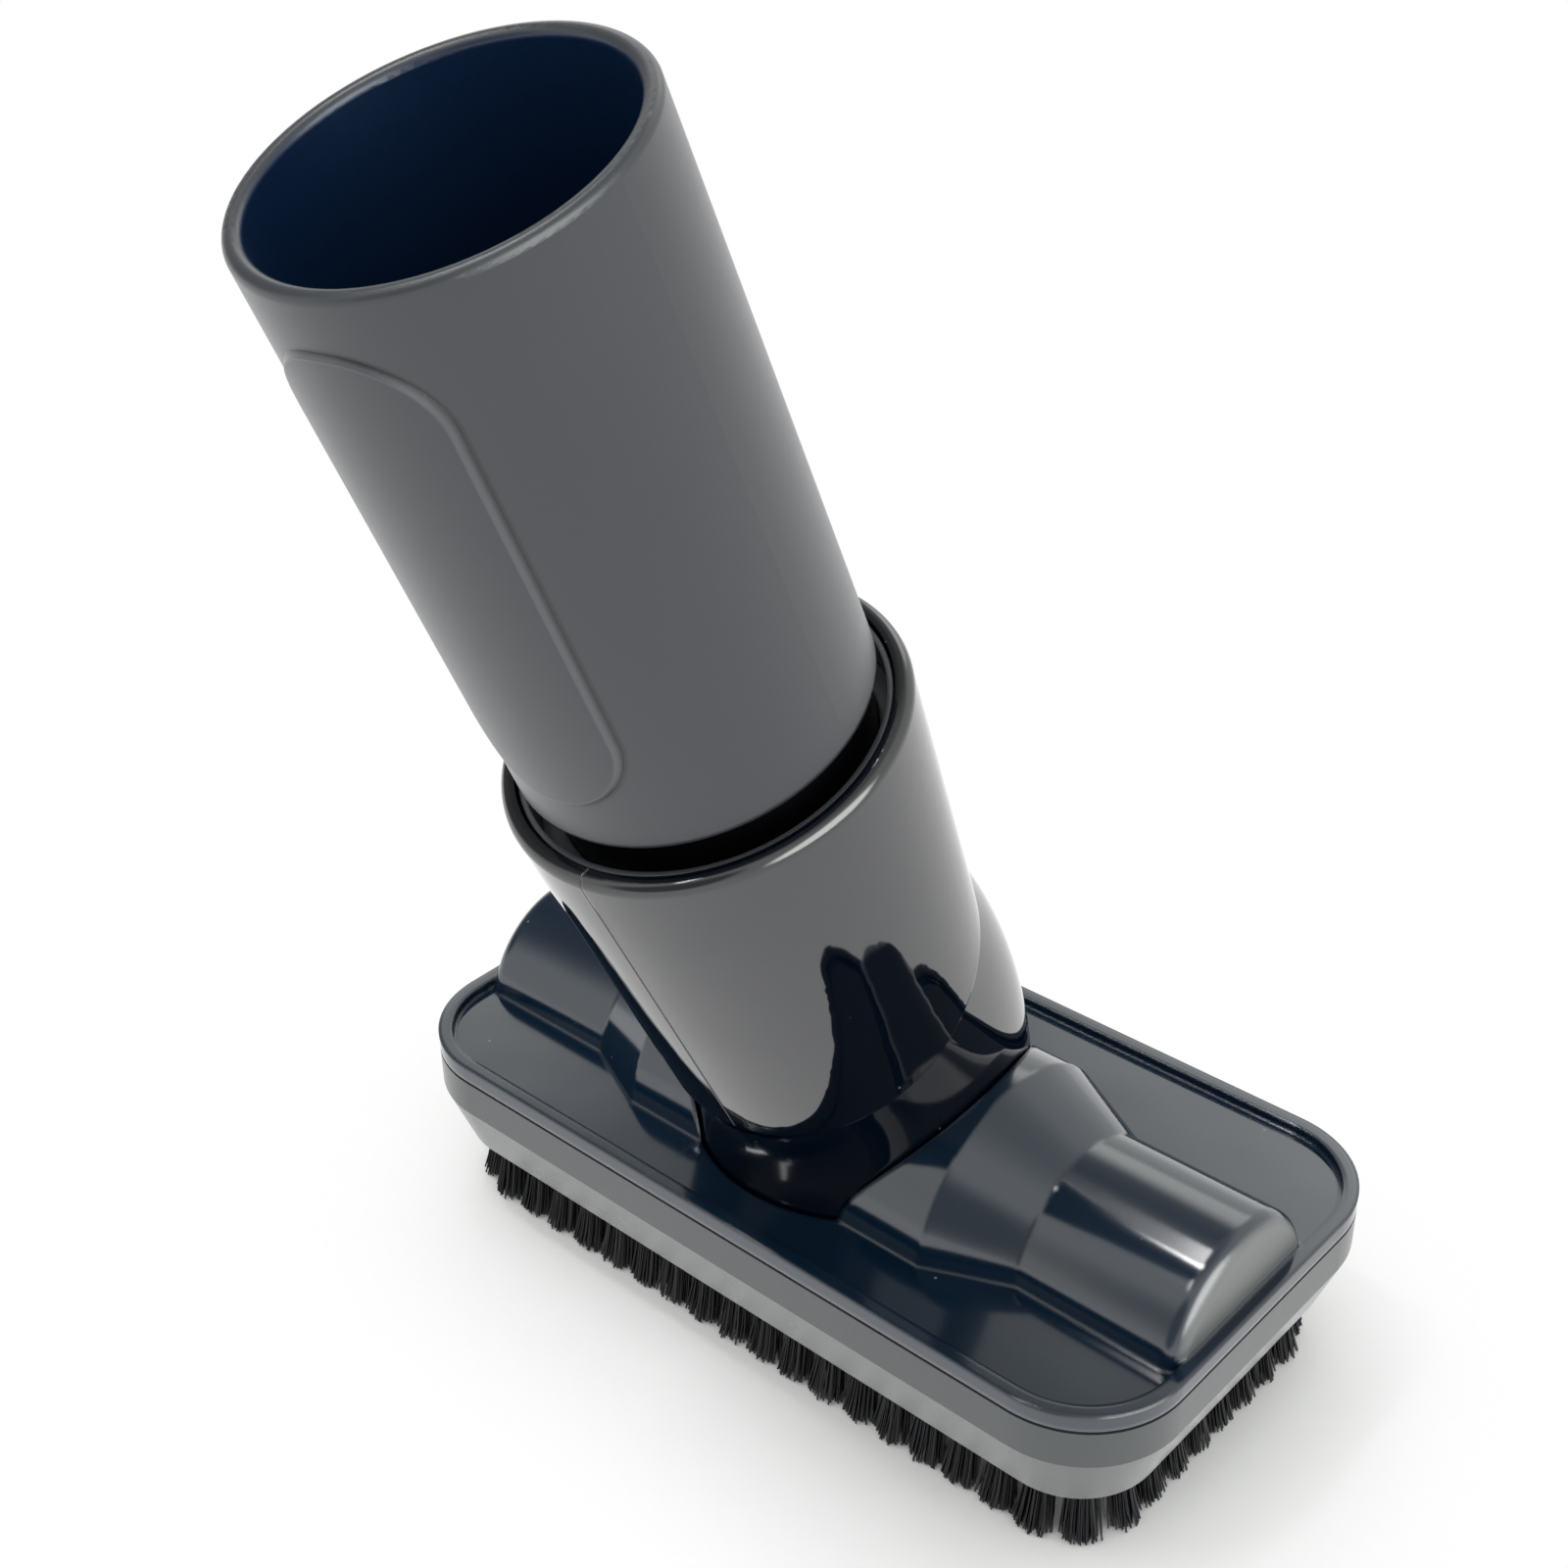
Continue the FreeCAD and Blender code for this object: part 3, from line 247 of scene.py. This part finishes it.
grain, entry, leave = effect("spark_texture", (
    ("Grain per metre", "NodeSocketFloat"), ("Base roughness", "NodeSocketFloat"),
    ("Roughness spread", "NodeSocketFloat"), ("Light tone", "NodeSocketColor"),
    ("Dark tone", "NodeSocketColor")))
place = object_place(grain)
cloud = noise(grain, place, 45.0, 4.0)
pits = noise(grain, place, entry.outputs["Grain per metre"], 3.0)
tone = tinted(grain, cloud, entry.outputs["Dark tone"], entry.outputs["Light tone"])
spread = sums(grain, "MULTIPLY_ADD", cloud, entry.outputs["Roughness spread"],
              entry.outputs["Base roughness"])
linked(grain, tone, leave.inputs["Color"])
linked(grain, spread, leave.inputs["Roughness"])
linked(grain, pits, leave.inputs["Height"])


def textured_plastic(name, light, dark, roughness, spread_by, per_metre, depth):
    """Moulded plastic with a fine spark texture; depth is the grain's height in metres."""
    return coated(name, grain, {
        "Grain per metre": per_metre,
        "Base roughness": roughness,
        "Roughness spread": spread_by,
        "Light tone": (*light, 1.0),
        "Dark tone": (*dark, 1.0),
    }, depth)


def finish_node(name, material):
    """Give a solid of the frame its finish."""
    slots = nodes[name].data.materials
    if len(slots) == 0:
        slots.append(material)
    for index in range(len(slots)):
        slots[index] = material


tube_satin = textured_plastic(
    "tube_satin", (0.042, 0.046, 0.055), (0.036, 0.040, 0.049), 0.26, 0.08, 9000.0, 0.00002)
tree = tube_satin.node_tree
shader = tree.nodes["Principled BSDF"]
shader.inputs["Specular IOR Level"].default_value = 0.6
tube_foot = (0.0, -0.011358, 0.050312)
tube_axis = (-0.0360894, -0.37134082, 0.92779499)
from_foot = vectors(tree, "SUBTRACT", object_place(tree), tube_foot)
height = vectors(tree, "DOT_PRODUCT", from_foot, tube_axis)
off_axis = vectors(tree, "LENGTH", vectors(tree, "CROSS_PRODUCT", from_foot, tube_axis))
# Near the axis the bore keeps its own dark navy. Below the stop, the neck in the gap under the shoulder
# is painted near black as painted shade.
bore_or_neck = ranged(tree, off_axis, 0.0178, 0.0176)
above_shaded_neck = ranged(tree, height, 0.0432, 0.0436)
bore_and_neck_shade_tone = tinted(tree, above_shaded_neck, (0.0008, 0.001, 0.002, 1.0), (0.004, 0.017, 0.055, 1.0))

panel_across = (-0.99337346, -0.0880411, -0.07387786)
panel_middle = 0.0758
panel_half = (0.0093, 0.027)
panel_corner = 0.0086
across_panel = vectors(tree, "DOT_PRODUCT", from_foot, panel_across)
corner_point = tree.nodes.new("ShaderNodeCombineXYZ")
for label, source, middle, half in (
        ("X", across_panel, 0.0, panel_half[0]), ("Y", height, panel_middle, panel_half[1])):
    off_middle = sums(tree, "ABSOLUTE", sums(tree, "SUBTRACT", source, middle))
    past = sums(tree, "SUBTRACT", off_middle, half - panel_corner)
    linked(tree, sums(tree, "MAXIMUM", past, 0.0), corner_point.inputs[label])
from_outline = vectors(tree, "LENGTH", corner_point.outputs["Vector"])
line_core = 0.00008
line_cover = 0.75
# Painted highlight: a pale line along each panel's edge. Painted shade: a dark line at the panel's foot.
edge_highlight_line = (panel_corner - 0.0004, 0.00032, (0.105, 0.11, 0.122, 1.0))
foot_shade_line = (panel_corner + 0.00012, 0.0003, (0.014, 0.015, 0.018, 1.0))
outlined_tone = shader.inputs["Base Color"].links[0].from_socket
for line_at, half_line, line_tone in (edge_highlight_line, foot_shade_line):
    off_line = sums(tree, "ABSOLUTE", sums(tree, "SUBTRACT", from_outline, line_at))
    on_line = ranged(tree, off_line, half_line, line_core, 0.0, line_cover)
    outlined_tone = tinted(tree, on_line, outlined_tone, line_tone)
linked(tree, tinted(tree, bore_or_neck, outlined_tone, bore_and_neck_shade_tone), shader.inputs["Base Color"])
finish_node("neck_tube", tube_satin)

# Collar: two gloss black half shells that meet on a fine parting line. The polish carries the hairline
# scratches and dust specks of a used part.
polish, entry, leave = effect("handled_polish", (
    ("Base roughness", "NodeSocketFloat"), ("Scratch roughness", "NodeSocketFloat"),
    ("Body tone", "NodeSocketColor"), ("Dust tone", "NodeSocketColor")))
place = object_place(polish)
turn = polish.nodes.new("ShaderNodeMapping")
turn.inputs["Rotation"].default_value = (0.4, 0.9, 0.2)
turn.inputs["Scale"].default_value = (700.0, 18.0, 18.0)
linked(polish, place, turn.inputs["Vector"])
hairline = noise(polish, turn.outputs["Vector"], 1.0)
scratched = ranged(polish, hairline, 0.70, 0.76)
rougher = blended(polish, scratched, entry.outputs["Base roughness"],
                  entry.outputs["Scratch roughness"])
specks = polish.nodes.new("ShaderNodeTexVoronoi")
specks.inputs["Scale"].default_value = 160.0
linked(polish, place, specks.inputs["Vector"])
dusty = ranged(polish, specks.outputs["Distance"], 0.035, 0.02)
tone = tinted(polish, dusty, entry.outputs["Body tone"], entry.outputs["Dust tone"])
ripple = noise(polish, place, 60.0, 1.0)
linked(polish, tone, leave.inputs["Color"])
linked(polish, rougher, leave.inputs["Roughness"])
linked(polish, ripple, leave.inputs["Height"])


def polished_plastic(name, body, dust, roughness, scratch, ripple_depth, edge):
    """Polished plastic; edge is the radius that its moulded corners are softened by."""
    plastic = coated(name, polish, {
        "Base roughness": roughness,
        "Scratch roughness": scratch,
        "Body tone": (*body, 1.0),
        "Dust tone": (*dust, 1.0),
    }, ripple_depth)
    tree = plastic.node_tree
    shader = tree.nodes["Principled BSDF"]
    shader.inputs["IOR"].default_value = 1.53
    shader.inputs["Specular IOR Level"].default_value = 1.0
    soft = tree.nodes.new("ShaderNodeBevel")
    soft.samples = 6
    soft.inputs["Radius"].default_value = edge
    linked(tree, soft.outputs["Normal"], tree.nodes["Bump"].inputs["Normal"])
    return plastic


gloss_black = polished_plastic(
    "gloss_black", (0.0004, 0.002, 0.006), (0.12, 0.12, 0.12), 0.035, 0.16, 0.0001, 0.0003)
finish_node("collar_left_half", gloss_black)
finish_node("collar_right_half", gloss_black)

# Retainer and rings inside the collar: a dark press-in cup whose rim shows as a thin second ring, a
# low-friction washer under the tube's flange, a sprung steel ring and a rubber seal at the seam.
retainer_gloss = polished_plastic(
    "retainer_gloss", (0.065, 0.072, 0.085), (0.12, 0.12, 0.12), 0.28, 0.35, 0.00005, 0.0004)
finish_node("collar_retainer", retainer_gloss)
washer_white = textured_plastic(
    "washer_white", (0.8, 0.79, 0.74), (0.74, 0.73, 0.68), 0.4, 0.1, 6000.0, 0.00001)
finish_node("tube_seal_ring", washer_white)
seal_rubber = textured_plastic(
    "seal_rubber", (0.022, 0.022, 0.024), (0.014, 0.014, 0.016), 0.7, 0.15, 8000.0, 0.00003)
finish_node("oblique_seal_ring", seal_rubber)


def plated_steel(name, tone, roughness):
    """Bright steel with fine drawing marks."""
    steel = textured_plastic(name, tone, tuple(0.85 * part for part in tone), roughness, 0.12,
                             14000.0, 0.000005)
    steel.node_tree.nodes["Principled BSDF"].inputs["Metallic"].default_value = 1.0
    return steel


finish_node("oblique_snap_ring", plated_steel("spring_steel", (0.56, 0.55, 0.53), 0.25))

# Elbow: one gloss black moulding whose flange is clamped under the cover by the keeper plate. The
# plate is plain moulded plastic, held by four zinc-plated screws.
finish_node("lower_elbow", gloss_black)
keeper_black = textured_plastic(
    "keeper_black", (0.035, 0.035, 0.038), (0.024, 0.024, 0.027), 0.5, 0.12, 7000.0, 0.00002)
finish_node("elbow_keeper", keeper_black)
zinc = plated_steel("zinc_plate", (0.62, 0.62, 0.6), 0.3)
finish_node("keeper_screws", zinc)

# Cover: smoke-tinted, highly polished plastic with a bead round its edge and softened creases on the
# hump. The hump's end walls are matt and painted a pale grey that stands in for the light falling on
# them. The carrier's screws hold it by its four posts.
smoke_gloss = polished_plastic(
    "smoke_gloss", (0.003, 0.013, 0.030), (0.16, 0.16, 0.16), 0.11, 0.2, 0.0001, 0.0008)
tree = smoke_gloss.node_tree
shader = tree.nodes["Principled BSDF"]
parts = tree.nodes.new("ShaderNodeSeparateXYZ")
linked(tree, object_place(tree), parts.inputs["Vector"])
end_wall = ranged(tree, sums(tree, "ABSOLUTE", parts.outputs["X"]), 0.0528, 0.0535)
above_flange = ranged(tree, parts.outputs["Z"], 0.0244, 0.0247)
matt_and_lit_end = sums(tree, "MULTIPLY", end_wall, above_flange)
# Painted light: the end walls' pale grey stands in for the light that falls on them; only their matt
# roughness is their own.
lit_end_tone = (0.13, 0.138, 0.14, 1.0)
matt_roughness = 0.45
gloss_tone = shader.inputs["Base Color"].links[0].from_socket
gloss_roughness = shader.inputs["Roughness"].links[0].from_socket
linked(tree, tinted(tree, matt_and_lit_end, gloss_tone, lit_end_tone), shader.inputs["Base Color"])
linked(tree, blended(tree, matt_and_lit_end, gloss_roughness, matt_roughness), shader.inputs["Roughness"])
finish_node("top_cover", smoke_gloss)

# Skirt: grey satin moulding that closes the head's side, an upright band and a slope inwards. The
# tuft carrier, plain black plastic with zinc-plated screws, clamps it from inside.
skirt_grey = textured_plastic(
    "skirt_grey", (0.075, 0.082, 0.086), (0.064, 0.071, 0.075), 0.24, 0.06, 9000.0, 0.00002)
skirt_grey.node_tree.nodes["Principled BSDF"].inputs["Specular IOR Level"].default_value = 0.6
finish_node("skirt_frame", skirt_grey)
finish_node("tuft_carrier", keeper_black)
finish_node("carrier_screws", zinc)

# Bristles: stiff black filaments, punched as flared tufts into the carrier all round the head. Each
# tuft opens towards its tip and leans a little outwards; the tips are cut slightly uneven.
head_half = (0.0554, 0.0295)
corner_radius = 0.013
row_inset = 0.007
tuft_pitch = 0.0049
carrier_foot = 0.009
roots = []
outwards = []


def even_steps(length):
    """Even places along one straight side, both ends included."""
    count = round(length / tuft_pitch) + 1
    return [length * step / (count - 1) - length / 2 for step in range(count)]


for x in even_steps(2 * (head_half[0] - corner_radius)):
    for side in (-1, 1):
        roots.append((x, side * (head_half[1] - row_inset), carrier_foot))
        outwards.append((0.0, side, 0.0))
for side in (-1, 1):
    for y in even_steps(2 * (head_half[1] - corner_radius)):
        roots.append((side * (head_half[0] - row_inset), y, carrier_foot))
        outwards.append((side, 0.0, 0.0))
    for turn_to in (-1, 1):
        out = Vector((side, turn_to, 0.0)).normalized()
        centre = Vector((side * (head_half[0] - corner_radius),
                         turn_to * (head_half[1] - corner_radius), carrier_foot))
        roots.append(tuple(centre + out * (corner_radius - row_inset)))
        outwards.append(tuple(out))
root_mesh = bpy.data.meshes.new("bristle_tufts")
root_mesh.from_pydata(roots, [], [])
outward = root_mesh.attributes.new("outward", "FLOAT_VECTOR", "POINT")
for index, value in enumerate(outwards):
    outward.data[index].vector = value
bristle_tufts = bpy.data.objects.new("bristle_tufts", root_mesh)
scene.collection.objects.link(bristle_tufts)

filament = bpy.data.materials.new("black_filament")
filament.use_nodes = True
tree = filament.node_tree
shader = tree.nodes["Principled BSDF"]
shader.inputs["Specular IOR Level"].default_value = 0.35
strand = noise(tree, object_place(tree), 1400.0)
strand_tone = tinted(tree, strand, (0.0015, 0.002, 0.004, 1.0), (0.005, 0.006, 0.008, 1.0))
linked(tree, strand_tone, shader.inputs["Base Color"])
linked(tree, ranged(tree, strand, 0.0, 1.0, 0.32, 0.55), shader.inputs["Roughness"])

rows = bpy.data.node_groups.new("punched_tufts", "GeometryNodeTree")
rows.interface.new_socket("Geometry", in_out="INPUT", socket_type="NodeSocketGeometry")
rows.interface.new_socket("Geometry", in_out="OUTPUT", socket_type="NodeSocketGeometry")
row_sizes = {
    "Filaments per tuft": ("NodeSocketInt", 120),
    "Root radius": ("NodeSocketFloat", 0.00125),
    "Tip half width": ("NodeSocketFloat", 0.00245),
    "Tip half depth": ("NodeSocketFloat", 0.0017),
    "Outward lean": ("NodeSocketFloat", 0.0013),
    "Free length": ("NodeSocketFloat", 0.0090),
    "Unevenness": ("NodeSocketFloat", 0.0007),
    "Filament radius": ("NodeSocketFloat", 0.00014),
    "Seed": ("NodeSocketInt", 7),
}
for label, (kind, value) in row_sizes.items():
    rows.interface.new_socket(label, in_out="INPUT", socket_type=kind)
entry = rows.nodes.new("NodeGroupInput")
leave = rows.nodes.new("NodeGroupOutput")


def drawn(seed_step, low, high):
    """Fixed random number for each filament."""
    pick = rows.nodes.new("FunctionNodeRandomValue")
    pick.inputs[2].default_value = low
    pick.inputs[3].default_value = high
    shift = sums(rows, "ADD", entry.outputs["Seed"], float(seed_step))
    linked(rows, shift, pick.inputs["Seed"])
    return pick.outputs[1]


def times(first, second):
    """Multiply two numbers of the tufts' tree."""
    return sums(rows, "MULTIPLY", first, second)


def remembered(flow, name, kind, value):
    """Store a value with each filament and pass the flow on."""
    keep = rows.nodes.new("GeometryNodeStoreNamedAttribute")
    keep.data_type = kind
    keep.domain = "POINT"
    keep.inputs["Name"].default_value = name
    linked(rows, flow, keep.inputs["Geometry"])
    linked(rows, value, keep.inputs["Value"])
    return keep.outputs["Geometry"]


def recalled(name, kind):
    """Read a stored value."""
    read = rows.nodes.new("GeometryNodeInputNamedAttribute")
    read.data_type = kind
    read.inputs["Name"].default_value = name
    return read.outputs["Attribute"]


spots = rows.nodes.new("GeometryNodeMeshToPoints")
linked(rows, entry.outputs["Geometry"], spots.inputs["Mesh"])
copies = rows.nodes.new("GeometryNodeDuplicateElements")
copies.domain = "POINT"
linked(rows, spots.outputs["Points"], copies.inputs["Geometry"])
linked(rows, entry.outputs["Filaments per tuft"], copies.inputs["Amount"])
where = rows.nodes.new("GeometryNodeInputPosition")
flow = remembered(copies.outputs["Geometry"], "root", "FLOAT_VECTOR", where.outputs["Position"])
flow = remembered(flow, "reach", "FLOAT", sums(rows, "SQRT", drawn(1, 0.0, 1.0)))
flow = remembered(flow, "bearing", "FLOAT", drawn(2, 0.0, 2 * math.pi))
flow = remembered(flow, "shortness", "FLOAT", drawn(3, 0.0, 1.0))
flow = remembered(flow, "stray", "FLOAT", drawn(4, -1.0, 1.0))
line = rows.nodes.new("GeometryNodeCurvePrimitiveLine")
line.inputs["End"].default_value = (0.0, 0.0, -0.001)
steps = rows.nodes.new("GeometryNodeResampleCurve")
steps.inputs["Count"].default_value = 5
linked(rows, line.outputs["Curve"], steps.inputs["Curve"])
stand = rows.nodes.new("GeometryNodeInstanceOnPoints")
linked(rows, flow, stand.inputs["Points"])
linked(rows, steps.outputs["Curve"], stand.inputs["Instance"])
single = rows.nodes.new("GeometryNodeRealizeInstances")
linked(rows, stand.outputs["Instances"], single.inputs["Geometry"])

along_length = rows.nodes.new("GeometryNodeSplineParameter").outputs["Factor"]
stray_reach = 0.0003
tip_room = 0.0001
least_share = 0.25
flare = sums(rows, "POWER", along_length, 0.7)
curl = sums(rows, "POWER", along_length, 2.0)
out = recalled("outward", "FLOAT_VECTOR")
side = vectors(rows, "CROSS_PRODUCT", out, (0.0, 0.0, 1.0))
root_size = entry.outputs["Root radius"]
wider = sums(rows, "SUBTRACT", entry.outputs["Tip half width"], root_size)
deeper = sums(rows, "SUBTRACT", entry.outputs["Tip half depth"], root_size)
wide = sums(rows, "ADD", root_size, times(flare, wider))
deep = sums(rows, "ADD", root_size, times(flare, deeper))
reach = recalled("reach", "FLOAT")
bearing = recalled("bearing", "FLOAT")
stray = times(times(recalled("stray", "FLOAT"), curl), stray_reach)
sideways = sums(rows, "ADD", stray, times(wide, times(reach, sums(rows, "COSINE", bearing))))
outways = sums(rows, "ADD", times(curl, entry.outputs["Outward lean"]),
               times(deep, times(reach, sums(rows, "SINE", bearing))))
rim_share = sums(rows, "ADD", sums(rows, "POWER", reach, 3.0), least_share)
short_by = times(entry.outputs["Unevenness"], times(recalled("shortness", "FLOAT"), rim_share))
longest = sums(rows, "SUBTRACT", entry.outputs["Free length"], tip_room)
drop = times(along_length, sums(rows, "SUBTRACT", longest, short_by))
down = rows.nodes.new("ShaderNodeCombineXYZ")
linked(rows, times(drop, -1.0), down.inputs["Z"])
hanging = vectors(rows, "ADD", recalled("root", "FLOAT_VECTOR"), down.outputs["Vector"])
shifted = vectors(rows, "ADD", vectors(rows, "SCALE", side, sideways),
                  vectors(rows, "SCALE", out, outways))
bent = vectors(rows, "ADD", hanging, shifted)
move = rows.nodes.new("GeometryNodeSetPosition")
linked(rows, single.outputs["Geometry"], move.inputs["Geometry"])
linked(rows, bent, move.inputs["Position"])
profile = rows.nodes.new("GeometryNodeCurvePrimitiveCircle")
profile.inputs["Resolution"].default_value = 3
linked(rows, entry.outputs["Filament radius"], profile.inputs["Radius"])
solid = rows.nodes.new("GeometryNodeCurveToMesh")
solid.inputs["Fill Caps"].default_value = True
linked(rows, move.outputs["Geometry"], solid.inputs["Curve"])
linked(rows, profile.outputs["Curve"], solid.inputs["Profile Curve"])
plain = rows.nodes.new("GeometryNodeRealizeInstances")
linked(rows, solid.outputs["Mesh"], plain.inputs["Geometry"])
dress = rows.nodes.new("GeometryNodeSetMaterial")
dress.inputs["Material"].default_value = filament
linked(rows, plain.outputs["Geometry"], dress.inputs["Geometry"])
linked(rows, dress.outputs["Geometry"], leave.inputs["Geometry"])

planting = bristle_tufts.modifiers.new("punched_tufts", "NODES")
planting.node_group = rows
for item in rows.interface.items_tree:
    if item.in_out == "INPUT" and item.name in row_sizes:
        planting[item.identifier] = row_sizes[item.name][1]
bpy.context.view_layer.update()
shown = bristle_tufts.evaluated_get(bpy.context.evaluated_depsgraph_get())
bristle_mesh = bpy.data.meshes.new_from_object(shown)
bristle_tufts.modifiers.remove(planting)
bristle_tufts.data = bristle_mesh
for attribute in list(bristle_mesh.attributes):
    if attribute.name in ("outward", "root", "reach", "bearing", "shortness", "stray"):
        bristle_mesh.attributes.remove(bristle_mesh.attributes[attribute.name])
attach(bristle_tufts, "head")
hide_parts("tufts_near", "tufts_far", "tufts_left", "tufts_right")
